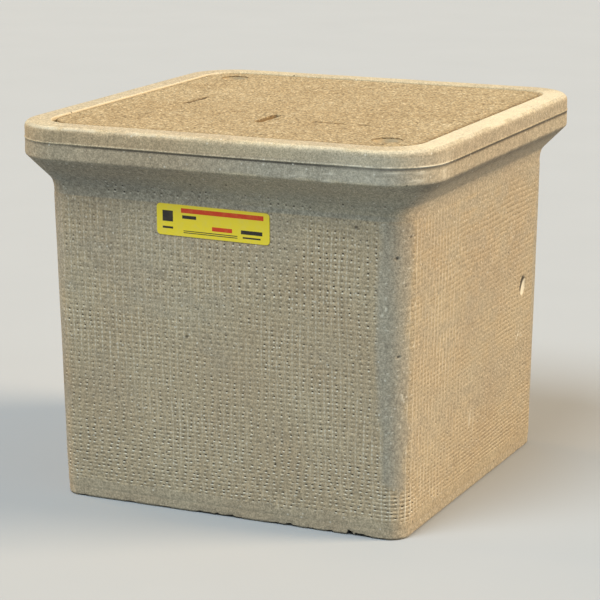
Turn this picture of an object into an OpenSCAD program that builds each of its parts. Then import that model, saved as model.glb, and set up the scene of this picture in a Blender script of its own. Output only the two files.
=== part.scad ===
// Underground utility box of fibre-reinforced polymer concrete: a square, drafted box with a flared rim
// and an open bottom, and a flush cover that two bolts hold down at opposite corners.
// Millimetres, Z up. The origin is the middle of the open bottom, and the labelled wall faces -Y.

/* [Box] */
// Height over all
box_height = 305; // [240:1:460]
// Width across the upright band of the rim
rim_width = 353; // [320:1:450]
// How far the rim stands out past the top of the wall
rim_overhang = 22; // [16:0.5:28]
// Corner radius of the rim in plan
rim_corner_r = 44; // [40:1:60]
// Height of the upright band round the rim
rim_band = 26; // [20:1:36]
// Height of the slope from the wall out to the band
flare_height = 22; // [16:1:30]
// Radius of the hollow where the wall runs into the slope
flare_root_r = 14; // [6:1:20]
// Radius of the band's lower edge
band_edge_r = 3; // [1:0.5:6]
// Radius of the rim's outer top edge
rim_edge_r = 5; // [2:0.5:8]
// Height of the mould's parting ridge above the band's lower edge
parting_height = 13; // [8:0.5:17]
// How far the parting ridge stands proud of the band
parting_proud = 0.8; // [0.4:0.1:1.5]
// Half the height of the parting ridge
parting_half = 0.9; // [0.5:0.1:1.5]
// Thickness of the wall
wall_thickness = 14; // [10:0.5:18]
// Inset of each wall between the slope and the bottom
wall_draft = 6; // [2:0.5:10]
// Radius of the inner corners at the bottom
inner_corner_r = 6; // [4:0.5:9]
// Chamfer round the bottom's outer edge
foot_chamfer = 1.5; // [0.5:0.25:3]

/* [Chip in the right wall] */
// Distance from the wall's middle to the chip, toward the rear
chip_offset = 105; // [60:1:112]
// Height of the chip's middle
chip_z = 147; // [60:1:200]
// Width of the chip
chip_width = 13; // [8:0.5:16]
// Length of the chip
chip_length = 21; // [18:0.5:30]
// Depth of the chip
chip_depth = 3; // [1.5:0.25:4]
// Lean of the chip's long way, top toward the rear
chip_lean = 12; // [-30:1:30]

/* [Cover] */
// Width of the flat border between the band and the cover's pocket
border_width = 20; // [16:0.5:22]
// Thickness of the cover
cover_thickness = 32; // [28:1:40]
// How far the cover's face lies below the border
cover_drop = 2; // [0:0.1:3]
// Gap between the cover and the pocket on each side
cover_gap = 1.6; // [1:0.2:3]
// How much larger the cover's corner radius is than the pocket's
cover_corner_relief = 5; // [0:0.5:10]
// Radius of the cover's top edge
cover_edge_r = 1.5; // [0.5:0.25:3]
// Chamfer round the cover's underside
cover_under_chamfer = 2; // [1:0.5:4]
// Radius of the pocket's top edge
pocket_edge_r = 1.5; // [0.5:0.25:3]

/* [Pull slot] */
// Length of the slot that a lifting hook goes into
slot_length = 38; // [30:1:70]
// Width of the slot
slot_width = 7; // [6:0.5:16]
// Depth of the slot
slot_depth = 25; // [20:1:26]
// Distance from the cover's front edge to the middle of the slot
slot_inset = 86; // [50:1:100]
// Diameter of the pin that the hook catches
pin_d = 8; // [6:0.5:10]
// Depth of the pin's axis below the cover's face
pin_depth = 11; // [8:0.5:13]
// Length of the pin that is cast into the cover at each end
pin_anchor = 9; // [6:0.5:14]
// Gap round the cast-in ends of the pin
pin_gap = 0.05; // [0.02:0.01:0.1]

/* [Bolts] */
// Diameter of the bolts over the thread
bolt_d = 9.5; // [8:0.25:11]
// Distance from the cover's edges to each bolt's axis
bolt_inset = 29; // [26:0.5:34]
// Width of the bolt heads and nuts across their flats
spanner_size = 14.3; // [13:0.1:16]
// Height of the bolt heads
head_height = 6; // [5:0.25:8]
// How far inside the flats the cone starts that the corners of heads and nuts are turned off to
hex_turned = 0.4; // [0.2:0.05:0.6]
// Chamfer round the bolts' lower ends
tip_chamfer = 1.2; // [0.5:0.1:2]
// Length of each bolt that stands out below its nut
bolt_tip = 5; // [3:0.5:10]
// Gap between the thread and the nut, measured on the radius
thread_gap = 0.08; // [0.04:0.01:0.1]
// Diameter of the washers
washer_d = 20.6; // [18:0.2:24]
// Thickness of the washers
washer_t = 1.6; // [1:0.1:2.5]
// Gap between a bolt and its washer, measured on the radius
washer_gap = 0.4; // [0.3:0.05:0.6]
// Depth of the recess that a bolt head sits in
recess_depth = 14; // [11:0.5:18]
// Gap between a washer and its recess, measured on the radius
recess_gap = 0.8; // [0.4:0.1:2]
// Gap between a bolt and its hole in the cover, measured on the radius
hole_gap = 1; // [0.5:0.1:2]

/* [Nut clips] */
// Thickness of the corner lugs that carry the nut clips
lug_thickness = 18; // [14:0.5:26]
// Distance from the bolt's axis to the lug's free edge
lug_reach = 14; // [12:0.5:20]
// Gap between a bolt and its hole in the lug, measured on the radius
lug_hole_gap = 2.2; // [1:0.1:3]
// Thickness of the clips' sheet
clip_t = 1.5; // [1:0.1:2]
// Inner radius of the clips' bends
clip_bend = 1; // [0.5:0.1:2]
// Gap between a clip's upper leaf and the cover
leaf_gap = 1; // [0.5:0.1:3]
// Gap between the nut and the tabs that keep it from turning
tab_gap = 0.3; // [0.2:0.05:0.6]
// Length of each tab along the nut's flat
tab_length = 7; // [5:0.5:8]
// Height of each tab
tab_height = 6.5; // [4:0.5:7]
// How far the clip's sheet runs past the tabs and the nut
clip_margin = 0.8; // [0.5:0.1:1.5]
// Height of the nuts
nut_height = 8.2; // [7:0.1:10]

/* [Label] */
// Width of the label
label_width = 96; // [60:1:140]
// Height of the label
label_height = 24.5; // [16:0.5:40]
// Thickness of the label
label_t = 0.4; // [0.2:0.05:0.8]
// Corner radius of the label
label_corner_r = 3; // [1:0.5:8]
// Distance from the wall's middle to the label's middle, to the right
label_offset = -6; // [-60:1:60]
// Distance from the hollow under the slope to the label's top edge
label_drop = 4; // [3:0.5:60]
// Turn of the label on the wall, clockwise
label_turn = 0.7; // [-3:0.1:3]

/* [Hidden] */
$fn = 64;

// How far a cut runs past the faces that it opens
past = 2;
// Straight pieces in each drawn arc
arc_steps = 6;

// Levels of the rim, from the top down
band_z = box_height - rim_band;
flare_z = band_z - flare_height;
cover_top_z = box_height - cover_drop;
ledge_z = cover_top_z - cover_thickness;
parting_z = band_z + parting_height;

// Outside of the box, measured out from the centres of its corner rounds
outer_reach = rim_width / 2 - rim_corner_r;
wall_top_out = rim_corner_r - rim_overhang;
wall_bottom_out = wall_top_out - wall_draft;
wall_angle = atan2(flare_z, wall_draft);
flare_angle = atan2(flare_height, rim_overhang);

// Inside of the box, measured out from the centres of the inner corner rounds
inner_reach = outer_reach + wall_bottom_out - wall_thickness - inner_corner_r;
inner_top_out = inner_corner_r + wall_draft * ledge_z / flare_z;
pocket_half = rim_width / 2 - border_width;
pocket_corner_r = pocket_half - inner_reach;

// Cover
cover_half = pocket_half - cover_gap;
cover_corner_r = pocket_corner_r + cover_corner_relief;
slot_y = slot_inset - cover_half;

// Bolts, on the diagonal that each corner lies on
bolt_offset = cover_half - bolt_inset;
bolt_radius = bolt_offset * sqrt(2);
front_right = -45;
rear_left = 135;
recess_floor_z = cover_top_z - recess_depth;
head_z = recess_floor_z + washer_t;
// The shank runs up into the head, so that the two are one solid
shank_top_z = head_z + head_height / 2;
recess_d = washer_d + 2 * recess_gap;
cover_hole_d = bolt_d + 2 * hole_gap;
hex_d = spanner_size / cos(30);
// Slope of the cone that the corners of heads and nuts are turned off to
hex_cone = 30;

// Lugs, clips and nuts, from the top down
lug_top_z = ledge_z - leaf_gap - clip_t;
lug_bottom_z = lug_top_z - lug_thickness;
nut_top_z = lug_bottom_z - clip_t;
nut_bottom_z = nut_top_z - nut_height;
bolt_end_z = nut_bottom_z - bolt_tip;
lug_hole_d = bolt_d + 2 * lug_hole_gap;
lug_to_wall = inner_reach + inner_corner_r + wall_draft * lug_top_z / flare_z - bolt_offset;
// The lug runs this far into both walls, and is cut off square in the corner between them
lug_sunk = wall_thickness / 3;
lug_blunt = wall_thickness / 2;
// The web stands off the lug's edge by the bend, so that the bends clear the edge's corners
clip_web_gap = clip_bend;
clip_half = spanner_size / 2 + tab_gap + clip_t + clip_margin;
clip_end = hex_d / 2 + clip_margin;

// Label
flare_root_z = flare_z - flare_root_r * tan((wall_angle - flare_angle) / 2);
label_z = flare_root_z - label_drop - label_height / 2;
wall_lean = 90 - wall_angle;

// Chip: two shallow bowls one above the other
chip_bowl_r = (chip_width * chip_width / 4 + chip_depth * chip_depth) / (2 * chip_depth);
chip_spread = (chip_length - chip_width) / 2;

// Half the width of the box across its walls at height z
function wall_half(z) = outer_reach + wall_bottom_out + wall_draft * z / flare_z;

// Points on an arc of radius r round a centre, from one angle to another
function arc(centre, r, from, to) =
    [for (i = [0:arc_steps])
        let (a = from + (to - from) * i / arc_steps)
        centre + r * [cos(a), sin(a)]];

function along(angle) = [cos(angle), sin(angle)];

// Round for the outline's corner at p, which is left at angle leave after it is reached at angle come
function corner_round(p, r, come, leave) =
    let (turn = leave - come,
        side = sign(turn),
        start = p - r * tan(abs(turn) / 2) * along(come),
        centre = start + r * along(come + side * 90))
    arc(centre, r, come - side * 90, leave - side * 90);

// A solid that is a square with round corners in plan. Its section is drawn outward from the centres of
// the corner rounds, which stand at +-reach, turned round each corner and drawn along each side.
module round_cornered(reach, low, high) {
    for (turn = [0:90:270])
        rotate([0, 0, turn])
            translate([reach, reach, 0]) {
                rotate_extrude(angle = 90)
                    children();
                rotate([90, 0, 0])
                    linear_extrude(2 * reach)
                        children();
            }
    translate([-reach, -reach, low])
        cube([2 * reach, 2 * reach, high - low]);
}

module box_outside_section() {
    polygon(concat(
        [[0, 0],
         [wall_bottom_out - foot_chamfer, 0],
         [wall_bottom_out + wall_draft * foot_chamfer / flare_z, foot_chamfer]],
        corner_round([wall_top_out, flare_z], flare_root_r, wall_angle, flare_angle),
        corner_round([rim_corner_r, band_z], band_edge_r, flare_angle, 90),
        [[rim_corner_r, parting_z - parting_half],
         [rim_corner_r + parting_proud, parting_z],
         [rim_corner_r, parting_z + parting_half]],
        corner_round([rim_corner_r, box_height], rim_edge_r, 90, 180),
        [[0, box_height]]));
}

// The hollow below the ledge and the cover's pocket above it
module box_inside_section() {
    polygon(concat(
        [[0, -past],
         [inner_corner_r, -past],
         [inner_corner_r, 0],
         [inner_top_out, ledge_z],
         [pocket_corner_r, ledge_z]],
        corner_round([pocket_corner_r, box_height], pocket_edge_r, 90, 0),
        [[pocket_corner_r + pocket_edge_r, box_height + past],
         [0, box_height + past]]));
}

module cover_section() {
    polygon(concat(
        [[0, ledge_z],
         [cover_corner_r - cover_under_chamfer, ledge_z],
         [cover_corner_r, ledge_z + cover_under_chamfer]],
        corner_round([cover_corner_r, cover_top_z], cover_edge_r, 90, 180),
        [[0, cover_top_z]]));
}

// Stands its children on a bolt's axis, with +X pointing out to the box's corner
module at_bolt(corner) {
    rotate([0, 0, corner])
        translate([bolt_radius, 0, 0])
            children();
}

// A shelf across an inner corner, sunk a little into both walls
module corner_lug() {
    wall_line = (lug_to_wall + lug_sunk) * sqrt(2);
    blunt = wall_line - lug_blunt;
    translate([0, 0, lug_bottom_z])
        linear_extrude(lug_thickness)
            polygon([[-lug_reach, -lug_reach - wall_line],
                [blunt, -lug_blunt],
                [blunt, lug_blunt],
                [-lug_reach, lug_reach + wall_line]]);
}

module wall_chip() {
    bowl_x = wall_half(chip_z) - chip_depth + chip_bowl_r;
    translate([bowl_x, chip_offset, chip_z])
        rotate([-chip_lean, 0, 0])
            for (end = [-1, 1])
                translate([0, 0, end * chip_spread])
                    sphere(r = chip_bowl_r);
}

module box_body() {
    color([0.70, 0.63, 0.50])
        difference() {
            union() {
                difference() {
                    round_cornered(outer_reach, 0, box_height)
                        box_outside_section();
                    round_cornered(inner_reach, -past, box_height + past)
                        box_inside_section();
                }
                for (corner = [front_right, rear_left])
                    at_bolt(corner)
                        corner_lug();
            }
            for (corner = [front_right, rear_left])
                at_bolt(corner)
                    translate([0, 0, lug_bottom_z - past])
                        cylinder(d = lug_hole_d, h = lug_thickness + 2 * past);
            wall_chip();
        }
}

module pull_slot() {
    between_ends = slot_length - slot_width;
    translate([0, slot_y, cover_top_z - slot_depth]) {
        for (end = [-1, 1])
            translate([0, end * between_ends / 2, 0])
                cylinder(d = slot_width, h = slot_depth + past);
        translate([-slot_width / 2, -between_ends / 2, 0])
            cube([slot_width, between_ends, slot_depth + past]);
    }
}

// A rod across the slot, as the pin itself or, wider and longer by a gap, as its bed in the cover
module across_slot(gap) {
    half = slot_width / 2 + pin_anchor + gap;
    translate([-half, slot_y, cover_top_z - pin_depth])
        rotate([0, 90, 0])
            cylinder(d = pin_d + 2 * gap, h = 2 * half);
}

module cover() {
    color([0.80, 0.69, 0.50])
        difference() {
            round_cornered(cover_half - cover_corner_r, ledge_z, cover_top_z)
                cover_section();
            for (corner = [front_right, rear_left])
                at_bolt(corner) {
                    translate([0, 0, recess_floor_z])
                        cylinder(d = recess_d, h = recess_depth + past);
                    translate([0, 0, ledge_z - past])
                        cylinder(d = cover_hole_d, h = cover_thickness);
                }
            pull_slot();
            across_slot(pin_gap);
        }
}

module lift_pin() {
    color([0.72, 0.72, 0.72])
        across_slot(0);
}

// A hexagon across the spanner's width, with its corners turned off to a cone at the top, and below too
// where turned_below is true
module turned_hexagon(low, height, turned_below) {
    inner = spanner_size / 2 - hex_turned;
    outer = hex_d / 2 + past;
    fall = (outer - inner) * tan(hex_cone);
    intersection() {
        translate([0, 0, low])
            cylinder(d = hex_d, h = height, $fn = 6);
        rotate_extrude()
            polygon(concat(
                [[0, low]],
                turned_below ? [[inner, low], [outer, low + fall]] : [[outer, low]],
                [[outer, low + height - fall],
                 [inner, low + height],
                 [0, low + height]]));
    }
}

module cover_bolt(corner) {
    color([0.74, 0.74, 0.73])
        at_bolt(corner) {
            turned_hexagon(head_z, head_height, false);
            rotate_extrude()
                polygon([[0, bolt_end_z],
                    [bolt_d / 2 - tip_chamfer, bolt_end_z],
                    [bolt_d / 2, bolt_end_z + tip_chamfer],
                    [bolt_d / 2, shank_top_z],
                    [0, shank_top_z]]);
        }
}

module bolt_washer(corner) {
    color([0.68, 0.68, 0.67])
        at_bolt(corner)
            translate([0, 0, recess_floor_z])
                difference() {
                    cylinder(d = washer_d, h = washer_t);
                    translate([0, 0, -past])
                        cylinder(d = bolt_d + 2 * washer_gap, h = washer_t + 2 * past);
                }
}

module clip_nut(corner) {
    color([0.74, 0.74, 0.73])
        at_bolt(corner)
            difference() {
                turned_hexagon(nut_bottom_z, nut_height, true);
                translate([0, 0, nut_bottom_z - past])
                    cylinder(d = bolt_d + 2 * thread_gap, h = nut_height + 2 * past);
            }
}

// Folded strip that hugs the lug's free edge: two leaves and the web between them
module clip_section() {
    web_in = -lug_reach - clip_web_gap;
    web_out = web_in - clip_t;
    outer_bend = clip_bend + clip_t;
    polygon(concat(
        [[clip_end, nut_top_z]],
        corner_round([web_out, nut_top_z], outer_bend, 180, 90),
        corner_round([web_out, lug_top_z + clip_t], outer_bend, 90, 0),
        [[clip_end, lug_top_z + clip_t],
         [clip_end, lug_top_z]],
        corner_round([web_in, lug_top_z], clip_bend, 180, 270),
        corner_round([web_in, lug_bottom_z], clip_bend, 270, 360),
        [[clip_end, lug_bottom_z]]));
}

module nut_clip(corner) {
    color([0.62, 0.63, 0.64])
        at_bolt(corner)
            difference() {
                union() {
                    rotate([90, 0, 0])
                        linear_extrude(2 * clip_half, center = true)
                            clip_section();
                    // Tabs bent down beside two flats of the nut
                    for (side = [0, 180])
                        rotate([0, 0, side])
                            translate([-tab_length / 2, spanner_size / 2 + tab_gap, nut_top_z - tab_height])
                                cube([tab_length, clip_t, tab_height + clip_t / 2]);
                }
                translate([0, 0, nut_top_z - past])
                    cylinder(d = cover_hole_d, h = ledge_z - nut_top_z + past);
            }
}

module wall_label() {
    across = label_width / 2;
    up = label_height / 2;
    color([0.93, 0.80, 0.22])
        translate([label_offset, -wall_half(label_z), label_z])
            rotate([90 + wall_lean, 0, 0])
                rotate([0, 0, -label_turn])
                    linear_extrude(label_t)
                        polygon(concat(
                            corner_round([across, -up], label_corner_r, 0, 90),
                            corner_round([across, up], label_corner_r, 90, 180),
                            corner_round([-across, up], label_corner_r, 180, 270),
                            corner_round([-across, -up], label_corner_r, 270, 360)));
}

box_body();
cover();
lift_pin();
cover_bolt(front_right);  // cover_bolt_front_right
cover_bolt(rear_left);  // cover_bolt_rear_left
bolt_washer(front_right);  // bolt_washer_front_right
bolt_washer(rear_left);  // bolt_washer_rear_left
clip_nut(front_right);  // clip_nut_front_right
clip_nut(rear_left);  // clip_nut_rear_left
nut_clip(front_right);  // nut_clip_front_right
nut_clip(rear_left);  // nut_clip_rear_left
wall_label();
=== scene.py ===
import math

import bpy
import numpy as np
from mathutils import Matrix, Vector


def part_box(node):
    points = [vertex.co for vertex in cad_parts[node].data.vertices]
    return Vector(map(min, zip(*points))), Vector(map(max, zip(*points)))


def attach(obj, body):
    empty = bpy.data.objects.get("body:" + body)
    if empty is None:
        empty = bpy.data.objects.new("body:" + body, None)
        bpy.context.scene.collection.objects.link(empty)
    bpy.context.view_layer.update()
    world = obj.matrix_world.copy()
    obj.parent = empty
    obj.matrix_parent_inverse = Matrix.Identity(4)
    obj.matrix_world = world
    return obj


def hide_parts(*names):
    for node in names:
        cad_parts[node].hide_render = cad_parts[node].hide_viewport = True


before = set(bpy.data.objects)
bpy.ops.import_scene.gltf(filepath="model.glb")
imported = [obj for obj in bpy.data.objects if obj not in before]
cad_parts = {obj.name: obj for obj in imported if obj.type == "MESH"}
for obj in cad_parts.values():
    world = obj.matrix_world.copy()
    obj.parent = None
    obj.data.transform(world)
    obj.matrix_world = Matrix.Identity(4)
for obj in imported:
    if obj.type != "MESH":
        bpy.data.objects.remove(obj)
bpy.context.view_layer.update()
mm = 0.001   # the surfaces below are worked out in millimetres

# corners of the solids that the surfaces are fitted to, and how far the bolts stand from the middle
bodyHigh = np.array(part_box("box_body")[1]) / mm
coverLow, coverHigh = (np.array(c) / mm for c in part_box("cover"))
boltOffset = sum(np.array(c)[0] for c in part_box("cover_bolt_front_right")) / 2 / mm
holes = dict(recess=22.2, slotWide=7.0, slotLong=38.0, slotY=-68.9)   # in the cover's face


# Noise and easing

tableSize = 256
randomTable = np.random.default_rng(20).random((tableSize, tableSize))


# 3t squared less 2t cubed, from 0 at low to 1 at high
def ease(value, low, high):
    t = np.clip((value - low) / (high - low), 0, 1)
    return t * t * (3 - 2 * t)


# one fixed random number from 0 to 1 for each whole-number cell
def chance(i, j, seed):
    return randomTable[(i * 3 + seed * 71) % tableSize, (j * 5 + seed * 29) % tableSize]


# random heights on a unit grid, eased from corner to corner of each cell, from -1 to 1
def swell(x, y, seed):
    i, j = np.floor(x).astype(int), np.floor(y).astype(int)
    u, v = ease(x - i, 0, 1), ease(y - j, 0, 1)
    low = chance(i, j, seed) * (1 - u) + chance(i + 1, j, seed) * u
    high = chance(i, j + 1, seed) * (1 - u) + chance(i + 1, j + 1, seed) * u
    return 2 * (low * (1 - v) + high * v) - 1


# three swells, each half as wide and half as high as the one before, over their greatest sum
def rough(x, y, seed):
    total = swell(x, y, seed) + swell(2 * x, 2 * y, seed + 1) / 2 + swell(4 * x, 4 * y, seed + 2) / 4
    return total / 1.75


# the sum of some swells, each given by its height, its lengths along and up, and its seed
def sway(s, z, swells):
    return sum(high * swell(s / along, z / up, seed) for high, along, up, seed in swells)


# Mesh making

# quads between neighbouring rows and columns of a grid, joined end to end where asked
def gridFaces(rows, cols, joinRows=False, joinCols=False):
    rowSteps = np.arange(rows if joinRows else rows - 1)
    colSteps = np.arange(cols if joinCols else cols - 1)
    j, i = np.meshgrid(rowSteps, colSteps, indexing="ij")
    nextJ, nextI = (j + 1) % rows, (i + 1) % cols
    corners = [j * cols + i, j * cols + nextI, nextJ * cols + nextI, nextJ * cols + i]
    return np.stack(corners, -1).reshape(-1, 4)


# the numbers along a grid's four sides, in order round it
def borderLoop(index):
    return np.concatenate([index[0, :-1], index[:-1, -1], index[-1, :0:-1], index[:0:-1, 0]])


# a sixth of the sum of each triangle's triple product: positive where the faces look outward
def volumeOf(points, faces):
    a, b, c = (points[faces[:, k]] for k in range(3))
    total = np.einsum("ij,ij->", a, np.cross(b, c))
    if faces.shape[1] == 4:
        total += np.einsum("ij,ij->", a, np.cross(c, points[faces[:, 3]]))
    return total / 6


# a mesh from points in millimetres and sets of faces, turned so that its volume is positive
def putPiece(name, points, faceSets, material, body, sharp=40, values=None):
    points = np.asarray(points, float).reshape(-1, 3)
    if sum(volumeOf(points, f) for f in faceSets) < 0:
        faceSets = [f[:, ::-1] for f in faceSets]
    mesh = bpy.data.meshes.new(name)
    mesh.from_pydata((points * mm).tolist(), [], [q for f in faceSets for q in f.tolist()])
    for key, value in (values or {}).items():
        layer = mesh.attributes.new(key, "FLOAT", "POINT")
        layer.data.foreach_set("value", np.asarray(value, np.float32).ravel())
    mesh.materials.append(material)
    mesh.shade_smooth()
    mesh.set_sharp_from_angle(angle=math.radians(sharp))
    piece = bpy.data.objects.new(name, mesh)
    bpy.context.scene.collection.objects.link(piece)
    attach(piece, body)
    return piece


# Materials

# an sRGB colour from 0 to 255 as the linear colour that nodes take
def tone(r, g, b):
    parts = (r / 255, g / 255, b / 255)
    return tuple(c / 12.92 if c <= 0.04045 else ((c + 0.055) / 1.055) ** 2.4 for c in parts) + (1,)


# one node with its settings, values and links: an input goes by its name, or by number as in0 or in1
def add(tree, kind, settings=None, **inputs):
    made = tree.nodes.new(kind)
    for key, value in (settings or {}).items():
        setattr(made, key, value)
    for key, value in inputs.items():
        byNumber = key.startswith("in") and key[2:].isdigit()
        socket = made.inputs[int(key[2:]) if byNumber else key.replace("_", " ")]
        if isinstance(value, bpy.types.NodeSocket):
            tree.links.new(value, socket)
        else:
            socket.default_value = value
    return made


# a new material with the shader's plain values set
def startMaterial(name, **inputs):
    material = bpy.data.materials.new(name)
    material.use_nodes = True
    tree = material.node_tree
    shader = tree.nodes["Principled BSDF"]
    for key, value in inputs.items():
        shader.inputs[key.replace("_", " ")].default_value = value
    return material, tree, shader


# the colour and a bump of the given height, both led into the shader
def finishMaterial(tree, shader, colour, strength, distance, height):
    tree.links.new(colour, shader.inputs["Base Color"])
    bump = add(tree, "ShaderNodeBump", Strength=strength, Distance=distance, Height=height)
    tree.links.new(bump.outputs["Normal"], shader.inputs["Normal"])


# a point's place in the object's own space
def place(tree):
    return add(tree, "ShaderNodeTexCoord").outputs["Object"]


# cloudy noise from 0 to 1
def grain(tree, where, scale, detail=3.0, roughness=0.6):
    made = add(tree, "ShaderNodeTexNoise", Vector=where, Scale=scale, Detail=detail, Roughness=roughness)
    return made.outputs["Fac"]


# a value stretched so that low becomes 0, or the first end, and high becomes 1, or the last
def remap(tree, value, low, high, first=0.0, last=1.0):
    ends = dict(From_Min=low, From_Max=high, To_Min=first, To_Max=last)
    return add(tree, "ShaderNodeMapRange", {"clamp": True}, Value=value, **ends).outputs["Result"]


# the first colour plus a share of the way to the second, or the two blended as asked
def mixTone(tree, share, first, second, how="MIX"):
    settings = {"data_type": "RGBA", "blend_type": how}
    return add(tree, "ShaderNodeMix", settings, in0=share, in6=first, in7=second).outputs[2]


# one step of arithmetic on one or two values
def sums(tree, how, first, second=0.0):
    return add(tree, "ShaderNodeMath", {"operation": how}, in0=first, in1=second).outputs[0]


# the product of two values
def times(tree, first, second):
    return sums(tree, "MULTIPLY", first, second)


# the size of the difference of two values
def apart(tree, first, second):
    return sums(tree, "ABSOLUTE", sums(tree, "SUBTRACT", first, second))


# a value that the mesh carries at its points
def attribute(tree, name):
    return add(tree, "ShaderNodeAttribute", {"attribute_name": name}).outputs["Fac"]


# small round spots: the middles of a Voronoi pattern's cells out to the size, for a share of the cells
def spots(tree, where, scale, size, share):
    cells = add(tree, "ShaderNodeTexVoronoi", Vector=where, Scale=scale)
    near = remap(tree, cells.outputs["Distance"], size, size * 0.6)
    red = add(tree, "ShaderNodeSeparateColor", Color=cells.outputs["Color"]).outputs[0]
    return times(tree, near, remap(tree, red, share + 0.02, share))


# millimetres from the middle of a cell of the weave: the thread count less its whole part and a half,
# times the pitch
def inCell(tree, threads, pitch):
    return times(tree, sums(tree, "SUBTRACT", sums(tree, "FRACT", threads), 0.5), pitch)


# a line along the weave, 1 on its middle and fading to 0 at its half width
def clothLine(tree, value, middle, half):
    return remap(tree, apart(tree, value, middle), half, half * 0.3)


# an oval spot at one place of every cell, 1 in its middle and fading to 0 past its edge
def cellSpot(tree, across, up, middle, size):
    x = sums(tree, "DIVIDE", sums(tree, "SUBTRACT", across, middle[0]), size[0])
    y = sums(tree, "DIVIDE", sums(tree, "SUBTRACT", up, middle[1]), size[1])
    away = sums(tree, "SQRT", sums(tree, "ADD", times(tree, x, x), times(tree, y, y)))
    return remap(tree, away, 1.15, 0.35)


# places and half sizes within a cell, in millimetres, and shares of strength
weaveMark = dict(
    stray=1.0, dashStray=2.3, strayUp=0.45, faint=0.4, strong=1.5, wide=0.95, dashWide=1.25, tall=0.62,
    hole=(0, 0.35), ledge=(-0.2, -0.85), ledgeWider=1.05, beadAt=-0.8, beadHalf=1.3, beadFloor=0.2,
    runFloor=0.7, threadHalf=0.9, grooveAt=0.35, grooveHalf=0.7, ridgeAt=-0.9, ridgeHalf=0.75,
    grooveShare=0.12, threadShare=0.85, ridgeShare=0.1)


# dark and pale marks in every cell of the weave, as painted shade and painted highlight: painted shade in
# a hole over a painted highlight on its ledge, moved and dimmed by the cell's own dice, a painted highlight
# along a thread with beads up the cell's edge, and a painted shaded row over a painted lit one. The
# attributes each, upright and level give their strength, dash draws the holes out and run fills the threads
# between the beads
def clothMarks(tree, pitch):
    mark = weaveMark
    threadA, threadB = attribute(tree, "threadA"), attribute(tree, "threadB")
    across, up = inCell(tree, threadA, pitch[0]), inCell(tree, threadB, pitch[1])
    wholes = dict(X=sums(tree, "FLOOR", threadA), Y=sums(tree, "FLOOR", threadB))
    cell = add(tree, "ShaderNodeCombineXYZ", **wholes).outputs[0]
    thrown = add(tree, "ShaderNodeTexWhiteNoise", {"noise_dimensions": "2D"}, Vector=cell).outputs["Color"]
    dice = add(tree, "ShaderNodeSeparateColor", Color=thrown).outputs
    dash, level = attribute(tree, "dash"), attribute(tree, "level")
    farther = remap(tree, dash, 0, 1, mark["stray"], mark["dashStray"])
    x = sums(tree, "ADD", across, times(tree, remap(tree, dice[0], 0, 1, -1.0, 1.0), farther))
    y = sums(tree, "ADD", up, remap(tree, dice[1], 0, 1, -mark["strayUp"], mark["strayUp"]))
    each = times(tree, attribute(tree, "each"), remap(tree, dice[2], 0, 1, mark["faint"], mark["strong"]))
    wide = remap(tree, dash, 0, 1, mark["wide"], mark["dashWide"])
    ledgeWide = times(tree, wide, mark["ledgeWider"])
    hole = times(tree, cellSpot(tree, x, y, mark["hole"], (wide, mark["tall"])), each)
    ledge = times(tree, cellSpot(tree, x, y, mark["ledge"], (ledgeWide, mark["tall"])), each)
    floor = remap(tree, attribute(tree, "run"), 0, 1, mark["beadFloor"], mark["runFloor"])
    bead = remap(tree, clothLine(tree, up, mark["beadAt"], mark["beadHalf"]), 0, 1, floor, 1.0)
    edgeLine = clothLine(tree, sums(tree, "ABSOLUTE", across), pitch[0] / 2, mark["threadHalf"])
    thread = times(tree, edgeLine, times(tree, bead, attribute(tree, "upright")))
    groove = times(tree, clothLine(tree, up, mark["grooveAt"], mark["grooveHalf"]), level)
    ridge = times(tree, clothLine(tree, up, mark["ridgeAt"], mark["ridgeHalf"]), level)
    # painted shade in the holes and the grooves
    dark = sums(tree, "MAXIMUM", hole, times(tree, groove, mark["grooveShare"]))
    thread = times(tree, thread, mark["threadShare"])
    # painted highlight on the threads and the ridges
    raised = sums(tree, "MAXIMUM", thread, times(tree, ridge, mark["ridgeShare"]))
    return dark, sums(tree, "MAXIMUM", ledge, raised)


# the pit and pinhole colours paint shade; the lip colour paints scuffs, pale flecks and painted highlights
castLook = dict(
    cloud=(228, 210, 200), pit=(56, 50, 42), lip=(236, 224, 198), pinhole=(66, 60, 48), fleck=(232, 222, 200),
    cloudScale=14, sandScale=760, pebbleScale=310, pinholeScale=95, fleckScale=170,
    cloudShare=0.3, pitShare=0.9, lipShare=0.78, pinholeShare=0.75, fleckShare=0.6, bumpDistance=0.0006)
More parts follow.
